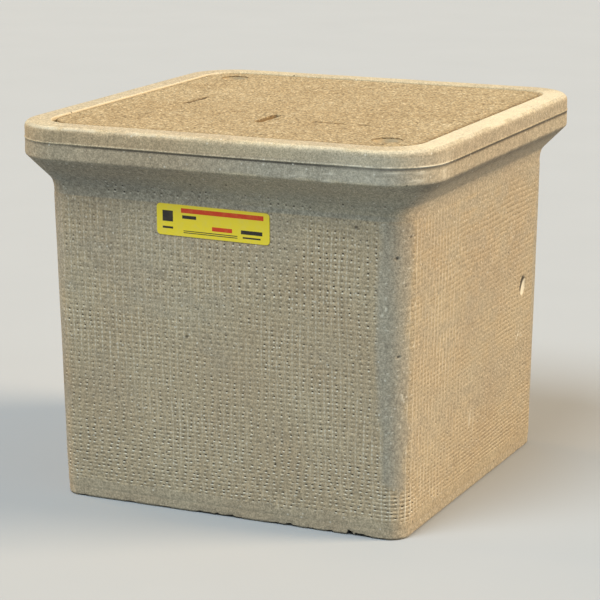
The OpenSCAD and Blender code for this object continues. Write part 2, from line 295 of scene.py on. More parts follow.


# Cast concrete: tan and grey clouds, pebbles, fine sand, pinholes painted as dark spots of shade, and pale
# flecks. Its wear attribute bleaches it where worn and paints highlights and light, its pit attribute
# paints shade, its lip attribute lightens it with scuffs and painted highlights, and cloth marks of painted
# shade and highlight are drawn over it where a cell is given
def castConcrete(name, plain, woven, pale, bumpHeight, pebbles, cell=None, stain=None):
    look = castLook
    material, tree, shader = startMaterial(name, Roughness=0.82, Specular_IOR_Level=0.32)
    where = place(tree)
    cloud = remap(tree, grain(tree, where, look["cloudScale"], 4, 0.55), 0.34, 0.66)
    sand = grain(tree, where, look["sandScale"], 2, 0.75)
    pebble = grain(tree, where, look["pebbleScale"], 2, 0.5)
    colour = mixTone(tree, attribute(tree, "weave"), tone(*plain), tone(*woven))
    clouded = mixTone(tree, 1.0, colour, tone(*look["cloud"]), "MULTIPLY")
    colour = mixTone(tree, times(tree, cloud, look["cloudShare"]), colour, clouded)
    colour = mixTone(tree, 1.0, colour, remap(tree, pebble, 0.36, 0.64, 1 - pebbles, 1 + pebbles), "MULTIPLY")
    colour = mixTone(tree, attribute(tree, "wear"), colour, tone(*pale))
    colour = mixTone(tree, 1.0, colour, remap(tree, sand, 0.34, 0.68, 0.62, 1.22), "MULTIPLY")
    # for the cover, painted light in its bolt recesses and painted shade in its slot
    if stain:
        colour = stain(tree, where, colour)
    pit, lip, relief = attribute(tree, "pit"), attribute(tree, "lip"), sand
    if cell:
        dark, light = clothMarks(tree, cell)
        pit, lip = sums(tree, "MAXIMUM", pit, dark), sums(tree, "MAXIMUM", lip, light)
        marks = sums(tree, "SUBTRACT", times(tree, lip, 0.6), pit)
        relief = sums(tree, "ADD", times(tree, sand, 0.5), marks)
    # pinholes as dark spots of painted shade, without holes in the mesh
    pinhole = spots(tree, where, look["pinholeScale"], 0.11, 0.16)
    fleck = spots(tree, where, look["fleckScale"], 0.16, 0.3)
    for mark, kind in ((pit, "pit"), (lip, "lip"), (pinhole, "pinhole"), (fleck, "fleck")):
        colour = mixTone(tree, times(tree, mark, look[kind + "Share"]), colour, tone(*look[kind]))
    finishMaterial(tree, shader, colour, bumpHeight, look["bumpDistance"], relief)
    return material


# dark and pale: painted shade in the gaps and painted highlight on the tops; sparkle: painted glints
gritLook = dict(
    dark=(140, 117, 83), mid=(180, 157, 119), pale=(206, 186, 150), scrape=(84, 64, 40),
    stain=(226, 210, 186), sparkle=(244, 228, 192), sandScale=480, stainScale=18, sparkleScale=320,
    stainShare=0.3, sparkleShare=0.6)


# Gritty cover face: sand grains with painted shade in the gaps and painted highlights on the tops, by the
# attribute grit, with broad stains and painted glints
def gritConcrete(name):
    look = gritLook
    material, tree, shader = startMaterial(name, Roughness=0.9, Specular_IOR_Level=0.25)
    where = place(tree)
    sand = grain(tree, where, look["sandScale"], 2, 0.6)
    height = attribute(tree, "grit")
    colour = mixTone(tree, remap(tree, height, 0.1, 0.55), tone(*look["dark"]), tone(*look["mid"]))
    colour = mixTone(tree, remap(tree, height, 0.6, 0.95), colour, tone(*look["pale"]))
    colour = mixTone(tree, remap(tree, height, 0.0, -0.3), colour, tone(*look["scrape"]))
    colour = mixTone(tree, 1.0, colour, remap(tree, sand, 0.33, 0.67, 0.45, 1.35), "MULTIPLY")
    stain = times(tree, remap(tree, grain(tree, where, look["stainScale"], 4), 0.4, 0.7), look["stainShare"])
    colour = mixTone(tree, stain, colour, mixTone(tree, 1.0, colour, tone(*look["stain"]), "MULTIPLY"))
    # painted glints on the grains
    sparkle = times(tree, spots(tree, where, look["sparkleScale"], 0.26, 0.12), look["sparkleShare"])
    colour = mixTone(tree, sparkle, colour, tone(*look["sparkle"]))
    finishMaterial(tree, shader, colour, 0.6, 0.0008, sand)
    return material


# Steel: fine streaks along the turning or the rolling, and dull patches
def steel(name, light, dark, roughness, stretch):
    material, tree, shader = startMaterial(name, Metallic=1.0)
    where = add(tree, "ShaderNodeMapping", Vector=place(tree), Scale=stretch).outputs["Vector"]
    streak = grain(tree, where, 260, 3, 0.6)
    dull = remap(tree, grain(tree, place(tree), 45, 4, 0.6), 0.35, 0.7)
    gloss = remap(tree, streak, 0, 1, roughness - 0.1, roughness + 0.14)
    tree.links.new(gloss, shader.inputs["Roughness"])
    finishMaterial(tree, shader, mixTone(tree, dull, tone(*light), tone(*dark)), 0.15, 0.0002, streak)
    return material


# Printed film: one colour, a little scuffed and dusty
def film(name, colour, dust):
    material, tree, shader = startMaterial(name, Roughness=0.45)
    where = place(tree)
    scuffed = times(tree, remap(tree, grain(tree, where, 180, 5, 0.65), 0.48, 0.78), 0.4)
    dusty = mixTone(tree, scuffed, tone(*colour), tone(*dust))
    finishMaterial(tree, shader, dusty, 0.2, 0.0003, grain(tree, where, 90, 2))
    return material


# painted light in the cover's bolt recesses and painted shade in its slot: their tones, and how far from
# their middles and how deep they go
holeLightAndShade = dict(
    recess=(208, 186, 148), slot=(148, 122, 86), boltHalf=13.0, slotHalf=6.0, slotReach=22.5, depth=12.0)


# 1 for distances inside a limit in millimetres, fading to 0 over a millimetre
def within(tree, distance, limit):
    return remap(tree, distance, (limit + 0.5) * mm, (limit - 0.5) * mm)


# painted light keeps the bolt recesses pale and painted shade keeps the slot dark,
# in the cover's upper part only
def coverHoleLightAndShade(tree, where, colour):
    x, y, z = add(tree, "ShaderNodeSeparateXYZ", Vector=where).outputs
    deepest = coverHigh[2] - holeLightAndShade["depth"]
    upper = remap(tree, z, (deepest - 1) * mm, (deepest + 1) * mm)
    fromBolt = [apart(tree, sums(tree, "ABSOLUTE", v), boltOffset * mm) for v in (x, y)]
    nearBolt = within(tree, sums(tree, "MAXIMUM", *fromBolt), holeLightAndShade["boltHalf"])
    alongSlot = within(tree, apart(tree, y, holes["slotY"] * mm), holeLightAndShade["slotReach"])
    nearSlot = times(tree, within(tree, sums(tree, "ABSOLUTE", x), holeLightAndShade["slotHalf"]), alongSlot)
    colour = mixTone(tree, times(tree, nearBolt, upper), colour, tone(*holeLightAndShade["recess"]))
    return mixTone(tree, times(tree, nearSlot, upper), colour, tone(*holeLightAndShade["slot"]))


clothCell = (6.584, 3.6)   # width and mean height of a cell of the weave
castMaterial = castConcrete(
    "cast_concrete", (181, 172, 150), (197, 172, 134), (222, 202, 162), 0.5, 0.15, clothCell)
clothMaterial = castConcrete(
    "cloth_marked_concrete", (181, 169, 145), (192, 172, 138), (218, 198, 160), 0.4, 0.12, clothCell)
coverMaterial = castConcrete(
    "cover_concrete", (200, 174, 132), (200, 174, 132), (228, 210, 172), 0.5, 0.15, None, coverHoleLightAndShade)
gritMaterial = gritConcrete("grit_concrete")
stainlessMaterial = steel("stainless_steel", (196, 197, 195), (160, 160, 156), 0.34, (1, 1, 0.2))
clipMaterial = steel("zinced_steel", (178, 180, 180), (132, 134, 136), 0.46, (1, 0.3, 1))
yellowFilm = film("yellow_film", (254, 224, 50), (236, 212, 120))
redPrint = film("red_print", (222, 66, 20), (230, 150, 50))
darkPrint = film("dark_print", (30, 27, 22), (96, 84, 40))
print("materials made")


# The box, cast in one: a section carried round four sides and four rounded corners

cast = dict(
    rimCorner=44.0, ridgeProud=0.8, ridgeHalf=0.9, parting=13.0, overhang=22.0, flare=22.0, band=26.0,
    rootRound=14.0, bandRound=3.0, topRound=5.0, draft=6.0, wall=14.0, innerCorner=6.0, foot=1.5,
    border=20.0, pocketRound=1.5, cornerShare=14.0)
castWaves = [(0.16, 57, 43, 3), (0.07, 17, 19, 4)]   # the same for every piece in the casting's face
clothBand = dict(low=4.0, high=251.0, sunkLow=10.0, sunkHigh=246.0, sunk=4.2)   # where the cloth walls lie

height = bodyHigh[2]
rim = cast["rimCorner"]
rimHalf = bodyHigh[0] - cast["ridgeProud"]
reach = rimHalf - rim
bandZ = height - cast["band"]
flareZ = bandZ - cast["flare"]
ledgeZ = coverLow[2]
wallTopOut = rim - cast["overhang"]
wallBottomOut = wallTopOut - cast["draft"]
innerReach = reach + wallBottomOut - cast["wall"] - cast["innerCorner"]
pocketOut = rimHalf - cast["border"] - innerReach
sideHalf = reach + cast["cornerShare"]
sideLength = 2 * sideHalf
rootLow = flareZ - cast["rootRound"] * math.tan(math.pi / 8)
bandLow = bandZ + cast["bandRound"] * math.tan(math.pi / 8)
partingZ = bandZ + cast["parting"]
topZ = height - cast["topRound"]
innerTopOut = cast["innerCorner"] + cast["draft"] * ledgeZ / flareZ
normals = np.array([(0, -1), (1, 0), (0, 1), (-1, 0)], float)   # front, right, back, left
tangents = np.array([(1, 0), (0, 1), (-1, 0), (0, -1)], float)


# how far the wall stands out from the corner centres: a straight draft from the foot to the flare
def wallOut(z):
    return wallBottomOut + cast["draft"] * z / flareZ


# a place along the girth as a point of the unit square of corner centres and a unit vector outward,
# which turns 90 degrees in each corner
def girth(s):
    k = np.floor((s + sideHalf) / sideLength).astype(int)
    local = s - k * sideLength
    held = np.clip(local, -reach, reach)
    turn = (local - held) / cast["cornerShare"] * math.pi / 4
    n, t = normals[k % 4], tangents[k % 4]
    centre = n + t * (held / reach)[..., None]
    return centre, n * np.cos(turn)[..., None] + t * np.sin(turn)[..., None]


# points of an arc in the section, from a start to an end angle in degrees
def arcRows(out, z, radius, start, end, count):
    a = np.radians(np.linspace(start, end, count))
    return np.stack([out + radius * np.cos(a), z + radius * np.sin(a)], -1)


# a row of points up the wall's outer face, from one height to another
def wallRows(low, high, count):
    return np.linspace((wallOut(low), low), (wallOut(high), high), count)


# the section's rows, up the outside and over the border, then down the pocket and the inside: each stretch
# gives its ends and its count of rows
flareSteps = np.linspace(-13.5, -3.0, 6)   # along the flare's slope of 45 degrees, from its outer edge
ridgeSteps = np.array([-1.6, -1, -0.5, 0, 0.5, 1, 1.6]) * cast["ridgeHalf"]
outerRows = np.concatenate([
    [(wallBottomOut - cast["foot"], 0)],
    wallRows(cast["foot"], 9, 9),
    wallRows(clothBand["sunkLow"] + 1, clothBand["sunkHigh"] - 1, 10),
    wallRows(clothBand["sunkHigh"] + 1, rootLow - 1, 3),
    arcRows(wallTopOut + cast["rootRound"], rootLow, cast["rootRound"], 180, 135, 9),
    np.column_stack([rim + flareSteps, bandZ + flareSteps]),
    arcRows(rim - cast["bandRound"], bandLow, cast["bandRound"], -45, 0, 5),
    np.linspace((rim, bandLow + 1.2), (rim, partingZ - 2.4), 8),
    np.column_stack([np.full(len(ridgeSteps), rim), partingZ + ridgeSteps]),
    np.linspace((rim, partingZ + 2.6), (rim, topZ - 0.8), 4),
    arcRows(rim - cast["topRound"], topZ, cast["topRound"], 0, 90, 8)])
pocketRound = cast["pocketRound"]
innerRows = np.concatenate([
    np.linspace((pocketOut + 7.5, height), (pocketOut + pocketRound, height), 4),
    arcRows(pocketOut + pocketRound, height - pocketRound, pocketRound, 90, 180, 5)[1:],
    np.linspace((pocketOut, height - 6), (pocketOut, ledgeZ + 1), 4),
    np.linspace((pocketOut, ledgeZ), (innerTopOut + 1, ledgeZ), 4),
    np.linspace((innerTopOut, ledgeZ - 1), (cast["innerCorner"], 0), 14)])
sectionRows = np.concatenate([outerRows, innerRows])
rowIsOuter = np.arange(len(sectionRows)) < len(outerRows)
rowReach = np.where(rowIsOuter, reach, innerReach)

cornerSteps = np.linspace(reach, sideHalf, 8)
sideSteps = np.concatenate([-cornerSteps[:0:-1], np.linspace(-reach, reach, 169), cornerSteps[1:-1]])
girthSteps = np.concatenate([k * sideLength + sideSteps for k in range(4)])

threadsRound = 178   # in the whole girth
cloth = dict(
    across=sideLength * 4 / threadsRound, rowLow=3.0, rowGain=0.0056, pitAcross=1.0, pitUp=0.6, pitDepth=0.75,
    lipRise=0.24, lipDrop=1.1, lipShift=0.3, lipAcross=1.3, lipUp=0.6, streakRise=0.1, rowDrop=0.05,
    grainRise=0.06, edgeDrop=0.45, underLabel=0.25, base=0.28, cols=252, rows=296, back=-3.4,
    threadSway=[(1.3, 37, 61, 51), (0.3, 9, 14, 52)], rowSway=[(1.0, 52, 33, 53), (0.3, 11, 13, 54)])


# threads of the cloth counted along the girth and up the wall, where rows spread from foot to rim,
# both swaying a little
def threadCount(s, z):
    a = (s + sway(s, z, cloth["threadSway"])) / cloth["across"]
    rowZ = z + sway(s, z, cloth["rowSway"])
    return a, np.log(1 + cloth["rowGain"] * rowZ / cloth["rowLow"]) / cloth["rowGain"]


# broken bits of the lower edge: place along the girth, half width and height
footChips = np.array([
    (-130, 5.5, 1.3), (-86, 5.4, 1.5), (-56, 6.7, 1.3), (-20, 9, 2.0), (-2, 11, 2.7), (10, 4, 1.5),
    (42, 7, 2.0), (55, 7, 2.6), (72, 4, 0.9), (88, 3, 2.6), (105.4, 3.4, 4.4), (116, 8.5, 2.9),
    (131, 5, 1.1), (172, 4, 0.8), (262, 8, 0.9), (330, 4, 1.2), (402, 5, 1.3), (470, 9, 1.0),
    (560, 6, 1.8), (640, 12, 1.1), (735, 7, 1.6), (820, 10, 1.2), (905, 5, 2.0), (960, 8, 1.1)])


# each chip is a flat-bottomed bite, and noise makes the rest of the edge ragged
def footLift(s):
    chipAt, chipHalf, chipHigh = footChips.T
    gap = np.abs(s[:, None] - chipAt)
    ragged = 0.75 + 0.35 * swell(s[:, None] / 2.9, chipAt, 6)
    bites = chipHigh * (1 - ease(gap, chipHalf * 0.6, chipHalf)) * ragged
    return np.maximum(bites.max(1), np.clip(0.55 * rough(s / 11, s * 0 + 3.3, 8) - 0.12, 0, 1))


uneven = dict(rim=0.22, crest=0.38, border=0.35, ridgeSway=0.35, borderSag=0.12, clear=0.03)
chipZone = dict(high=8, rise=5, inward=0.5, deepest=1.5, inwardHigh=6)   # where the foot's chips are cut

s, row = np.meshgrid(girthSteps, np.arange(len(sectionRows)))
out, z = sectionRows[row, 0].copy(), sectionRows[row, 1].copy()
outer = rowIsOuter[row]
crest = np.maximum(0, 1 - np.abs(z - partingZ) / cast["ridgeHalf"]) * (outer & (np.abs(z - partingZ) < 2))
sunk = outer & (z > clothBand["sunkLow"]) & (z < clothBand["sunkHigh"])
onTop = z > height - 0.3
out += np.where(outer & (z < flareZ), sway(s, z, castWaves), 0)
out += np.where(outer & (z >= flareZ) & ~onTop, uneven["rim"] * (rough(s / 31, z / 17, 14) - 1), 0)
out += crest * cast["ridgeProud"] * (1 + uneven["crest"] * (rough(s / 23, s * 0, 17) - 1))
out = np.minimum(out, rim + cast["ridgeProud"] - uneven["clear"])
out -= np.where(sunk, clothBand["sunk"], 0)
out += np.where(~outer & onTop, uneven["border"] * rough(s / 13, z / 9, 19), 0)
z += np.where(np.abs(z - partingZ) < 3, uneven["ridgeSway"] * swell(s / 64, s * 0, 21) * outer, 0)
z -= np.where(z > height - 2, uneven["borderSag"] * (1 - rough(s / 27, out / 21, 22)), 0)
lift = footLift(girthSteps)[None, :]
low = outer & (z < chipZone["high"])
z = np.where(low, np.maximum(z, lift * ease(chipZone["high"] - z, 0, chipZone["rise"])), z)
inward = chipZone["inward"] * np.minimum(lift, chipZone["deepest"])
out -= np.where(low, inward * ease(chipZone["inwardHigh"] - z, 0, chipZone["inwardHigh"]), 0)

centre, outward = girth(girthSteps)
points = np.empty(out.shape + (3,))
points[..., :2] = centre[None] * rowReach[:, None, None] + outward[None] * out[..., None]
points[..., 2] = z

# where on the box a point lies
local = (s + sideHalf) % sideLength - sideHalf
fromNear = np.abs(s - sideHalf)   # along the girth from the corner nearest the photo's camera
fromLeft = np.minimum(np.abs(s + sideHalf), np.abs(s - 7 * sideHalf))
onRight = ease(s, sideHalf - 6, sideHalf + 8) * (1 - ease(s, 3 * sideHalf - 8, 3 * sideHalf + 6))
onLeft = s > 5 * sideHalf
inBand = outer & (z > bandZ) & ~onTop
lowBand = outer & (z > bandLow - 2) & (z < partingZ - 2)
onFlare = outer & (z > rootLow) & (z < bandLow)
upperBand = ease(z, partingZ + 0.5, partingZ + 2.5)
# painted light on the top of the pocket's inner wall, which lies in shade
paintedPocketLight = np.where(~outer & ~onTop, ease(z, height - 5, height - 3), 0)
# the outer top edge's pale line: partly worn, partly a painted highlight
edgeLine = np.where(outer & ~onTop, ease(z, topZ + 1.9, topZ + 2.8), 0)
edgeLine *= (0.5 + 0.5 * rough(s / 19, s * 0 + 5, 32)) * (1 - 0.5 * ease(fromNear, 40, 12))

# bleached where hands and stacking rub it: the border, most on the right, the upper band and, partly worn
# and partly a painted highlight, the outer top edge and here and there the rim's lower edge; a painted
# highlight on the ridge's crest, and painted light on the pocket's shaded inner edge
wornAndLit = dict(border=0.45, right=0.55, dull=0.2, crest=0.45, lowEdge=0.7, flare=0.35, band=0.42, paintedPocketLight=0.8)
dullSides = (np.abs(s) < reach) | onLeft
wear = np.where(onTop, wornAndLit["border"] + wornAndLit["right"] * onRight - wornAndLit["dull"] * dullSides, 0)
# painted highlight on the ridge's crest
wear += edgeLine + wornAndLit["crest"] * crest
# the rim's lower edge: partly worn, partly a painted highlight
lowEdge = np.exp(-((z - bandLow + 1) / 1.2) ** 2) * outer
wear += wornAndLit["lowEdge"] * lowEdge * ease(rough(s / 13, s * 0, 31), -0.1, 0.8)
wear += np.where(onFlare, wornAndLit["flare"] * ease(s, -80, 40) * (1 - onRight), 0)
wear += np.where(inBand, wornAndLit["band"] * upperBand * ease(s, -70, 20) * (1 - onRight), 0)
wear *= 0.75 + 0.35 * rough(s / 15, z / 6, 33)
# painted light on the pocket's inner edge
wear += wornAndLit["paintedPocketLight"] * paintedPocketLight

# painted shade under the ridge, in the chips of the foot and under the rim's right side, and a little darker
# at the band's left corner
shadeAndDarkening = dict(
    ridgeDrop=1.5, ridgeHalf=0.8, ridgeRight=0.3, leftCorner=0.09, underRim=0.4, rimDrop=3, rimHalf=5.5)
# painted shadow under the ridge, wider on the right
ridgeWide = shadeAndDarkening["ridgeHalf"] + shadeAndDarkening["ridgeRight"] * onRight
ridgeShade = np.exp(-((z - partingZ + shadeAndDarkening["ridgeDrop"]) / ridgeWide) ** 2)
rimShade = np.exp(-((z - bandZ + shadeAndDarkening["rimDrop"]) / shadeAndDarkening["rimHalf"]) ** 2)
rimShade *= 1 + 0.6 * rough(s / 5, z / 4, 34)
pit = np.where(outer, ridgeShade, 0) * (0.4 + 0.6 * ease(fromLeft, 8, 65))
pit += np.where(inBand, shadeAndDarkening["leftCorner"] * (1 - ease(fromLeft, 10, 40)), 0)
# painted shade in the foot's chips
pit += np.where(outer & (z < 6), ease(lift - z + 0.6, 0.5, 1.1) * ease(lift, 0.5, 1.0), 0)
# painted shadow of the rim on the right side
pit += np.where(outer & (z < bandLow), shadeAndDarkening["underRim"] * onRight * rimShade, 0)

# warmer to the left of the front and at the foot, bluer at the near corner, and greyer and bluer at the
# flare's root as painted cool shade under the rim
warmth = dict(band=0.5, upper=0.45, near=0.8, foot=0.6, other=0.4, root=0.05, flare=0.3)
underRim = outer & (z > rootLow - 4) & (z <= bandZ)
bandWarm = warmth["band"] + warmth["upper"] * ease(z, partingZ - 1, partingZ + 2)
bandWarm -= warmth["near"] * (1 - ease(fromNear, 20, 200))
warm = np.where(inBand, bandWarm, np.where(outer & (z < rootLow), warmth["foot"], warmth["other"]))
# painted cool shade under the rim
warm = np.where(underRim, warmth["root"] + warmth["flare"] * ease(z, flareZ + 4, flareZ + 14), warm)
warm = np.clip(warm, 0, 1) * (1 - onRight) + warmth["other"] * onRight
# warm where the pocket's inner edge is painted light
warm = np.maximum(warm, paintedPocketLight)

# pale scuffs: long strokes left of the near corner, small bits past it, and rubbed edges; painted highlights
# on the ridge's crest and, with wear, the outer top edge, and painted light on the pocket's inner edge
scuffed = dict(
    low=0.6, crest=0.8, edge=0.7, border=0.3, paintedPocketLight=0.45, haze=0.16,
    strokesAt=88, bitsPast=4, hazeBefore=8)
strokes = ease(np.abs(s - scuffed["strokesAt"]), 34, 14) * ease(rough(s / 11, z / 1.9, 36), 0.05, 0.5)
strokes *= 1 - ease(z, bandLow + 4, bandLow + 8)
bits = ease(np.abs(s - sideHalf - scuffed["bitsPast"]), 30, 8) * ease(swell(s / 2.4, z / 1.9, 37), 0.4, 0.8)
haze = ease(np.abs(s - sideHalf + scuffed["hazeBefore"]), 45, 15) * (1 + 0.6 * rough(s / 6, z / 3, 30))
scuffAndPaintedLight = np.where(lowBand, scuffed["low"] * np.maximum(strokes, bits), 0)
# painted highlight on the ridge's crest
scuffAndPaintedLight += scuffed["crest"] * crest * ease(fromNear, 70, 20) * ease(swell(s / 3.3, s * 0, 39), -0.2, 0.4)
# the outer top edge: partly rubbed, partly a painted highlight
scuffAndPaintedLight += scuffed["edge"] * edgeLine * ease(rough(s / 9, s * 0 + 2, 40), -0.5, 0.4)
# the right border paler, and painted light on the pocket's inner edge on the left
scuffAndPaintedLight += np.where(onTop, scuffed["border"] * onRight, 0) + scuffed["paintedPocketLight"] * paintedPocketLight * onLeft
scuffAndPaintedLight += np.where(inBand & (z < topZ), scuffed["haze"] * haze, 0)

# a few pits of the cloth at the flare's root, drawn as painted shade in holes and painted highlights on
# ledges
root = np.where(outer, ease(z, rootLow - 0.5, rootLow + 1.5) * (1 - ease(z, flareZ + 4, flareZ + 9)), 0)
root *= 1 - ease(np.abs(local), reach, reach + 8)
root *= (1 - 0.6 * onRight) * np.clip(0.5 + 1.4 * swell(s / 15, z / 7, 38), 0, 1)
threadA, threadB = threadCount(s, z)

shellValues = dict(
    weave=warm, wear=np.clip(wear, 0, 1), pit=np.clip(pit, 0, 1), lip=np.clip(scuffAndPaintedLight, 0, 1),
    threadA=threadA, threadB=threadB, each=root)
shellFaces = gridFaces(*out.shape, True, True)
boxShell = putPiece("box_shell", points, [shellFaces], castMaterial, "box", 50, shellValues)
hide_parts("box_body")
print("box shell:", len(boxShell.data.vertices), "points")


# Cloth marks on the walls: rows of small pits where the weave pressed in, with raised lips and thread lines

pinholes = np.array([   # place along the girth, height, radius
    (-31, 143, 1.3), (113, 242, 1.5), (143, 220.5, 1.2), (165, 211.5, 0.9), (152.5, 236, 0.9),
    (204, 181.5, 0.9), (144.5, 145, 1.0)])
pinhole = dict(edge=1.4, depth=0.9)
gouge = dict(side=1, along=105.0, z=147.0, lean=12.0, halfAcross=6.5, halfUp=8.5, depth=1.6)
rightWall = dict(side=1, pits=0.5, broken=0.65, upright=0.45, nearUpright=0.6, level=2.5, nearLevel=0.9)
brightBits = dict(along=101, z=107, halfAcross=14, halfUp=9)   # under the gouge
rubbedPatch = dict(along=-8, z=57, halfAcross=8, halfUp=17, share=0.6)
limits = dict(   # where the weave starts and ends, in millimetres up the wall or along it
    foot=(13.0, 18.0), flare=(222, 249), wrap=(34, 46), low=(40, 80), drawn=(90, 140), drawnLeft=(-20, 50),
    farLeft=(-125, -85), nearLines=(-70, -20), bareTop=(34, 44), bareSide=(24, 14),
    fleckSide=(9, 22), fleckLow=(50, 70))
label = dict(width=96.0, height=24.5, thick=0.4, along=-6.0, drop=4.0, turn=0.7)
labelZ = rootLow - label["drop"] - label["height"] / 2


# how strongly pits, upright streaks, level rows and dashes show at each place of each wall: eased limits
# at the foot, the flare and the corners, times slow noise
def clothStrength(k, local, s, z):
    rise = ease(z + 1.6 * swell(s / 9, z * 0, 41), *limits["foot"])
    fade = 0.25 + 0.2 * ease(local, *limits["farLeft"])
    fall = 1 - fade * ease(z + 9 * swell(s / 40, z * 0, 42), *limits["flare"])
    rightEnd = 1 - ease(local + 3 * swell(z / 21, s * 0, 43), reach - 6, reach + 1)
    leftFrom = reach + 4 if k < 2 else reach - 6
    leftEnd = 1 - ease(-local + 3 * swell(z / 21, s * 0, 44), leftFrom, leftFrom + 8)
    # low down the weave goes round the corners
    wrap = 1 - ease(z + 6 * swell(s / 12, z * 0, 45), *limits["wrap"])
    ends = np.maximum(rightEnd * leftEnd, wrap)
    seam = 1 - ease(np.abs(local), sideHalf - 2.2, sideHalf - 0.6)
    whole = rise * fall * ends * seam
    patch = 0.8 + 0.45 * rough(s / 46, z / 37, 46)
    low = 1 - ease(z + 8 * swell(s / 30, z * 0, 66), *limits["low"])
    # long streaks high on the left of each wall
    drawn = ease(z, *limits["drawn"]) * (1 - ease(local, *limits["drawnLeft"]))
    upright = np.clip(0.4 + 0.7 * swell(s / 45, z / 70, 48) + 0.5 * drawn - 0.25 * low, 0, 1)
    level = np.clip(0.5 + 0.5 * swell(s / 70, z / 30, 50) + 0.1 * low, 0, 1)
    pits = np.clip(patch + 0.3 * low - 0.2 * drawn, 0, 1)
    # fainter on the right, with fine upright lines near the front and bright bits low on that corner
    if k == rightWall["side"]:
        near = 1 - ease(local, *limits["nearLines"])
        broken = wrap * (1 - ease(local, -reach, -reach + 16))
        pits = rightWall["pits"] * pits + rightWall["broken"] * broken
        upright = rightWall["upright"] * upright + rightWall["nearUpright"] * near
        level = (rightWall["level"] - rightWall["nearLevel"] * near) * level
    return whole * pits, whole * upright, whole * level, whole * low


# 1 in the middle of an oval on a wall, easing to 0 at its edge
def ovalPatch(local, z, oval, soft):
    away = np.hypot((local - oval["along"]) / oval["halfAcross"], (z - oval["z"]) / oval["halfUp"])
    return ease(1 - away, 0, soft)


# a bit knocked out of the wall: a leaning bowl with a rough floor, with painted shade except on its far side
def gougeBowl(local, z):
    lean = math.radians(gouge["lean"])
    u, v = local - gouge["along"], z - gouge["z"]
    p, q = u * math.cos(lean) - v * math.sin(lean), u * math.sin(lean) + v * math.cos(lean)
    bowl = np.clip(1 - (p / gouge["halfAcross"]) ** 2 - (q / gouge["halfUp"]) ** 2, 0, 1)
    broken = bowl ** 0.6 * (1 + 0.15 * rough(local / 3, z / 3, 61))
    return broken, ease(2.6 - p + 0.35 * q, 0, 1.5)


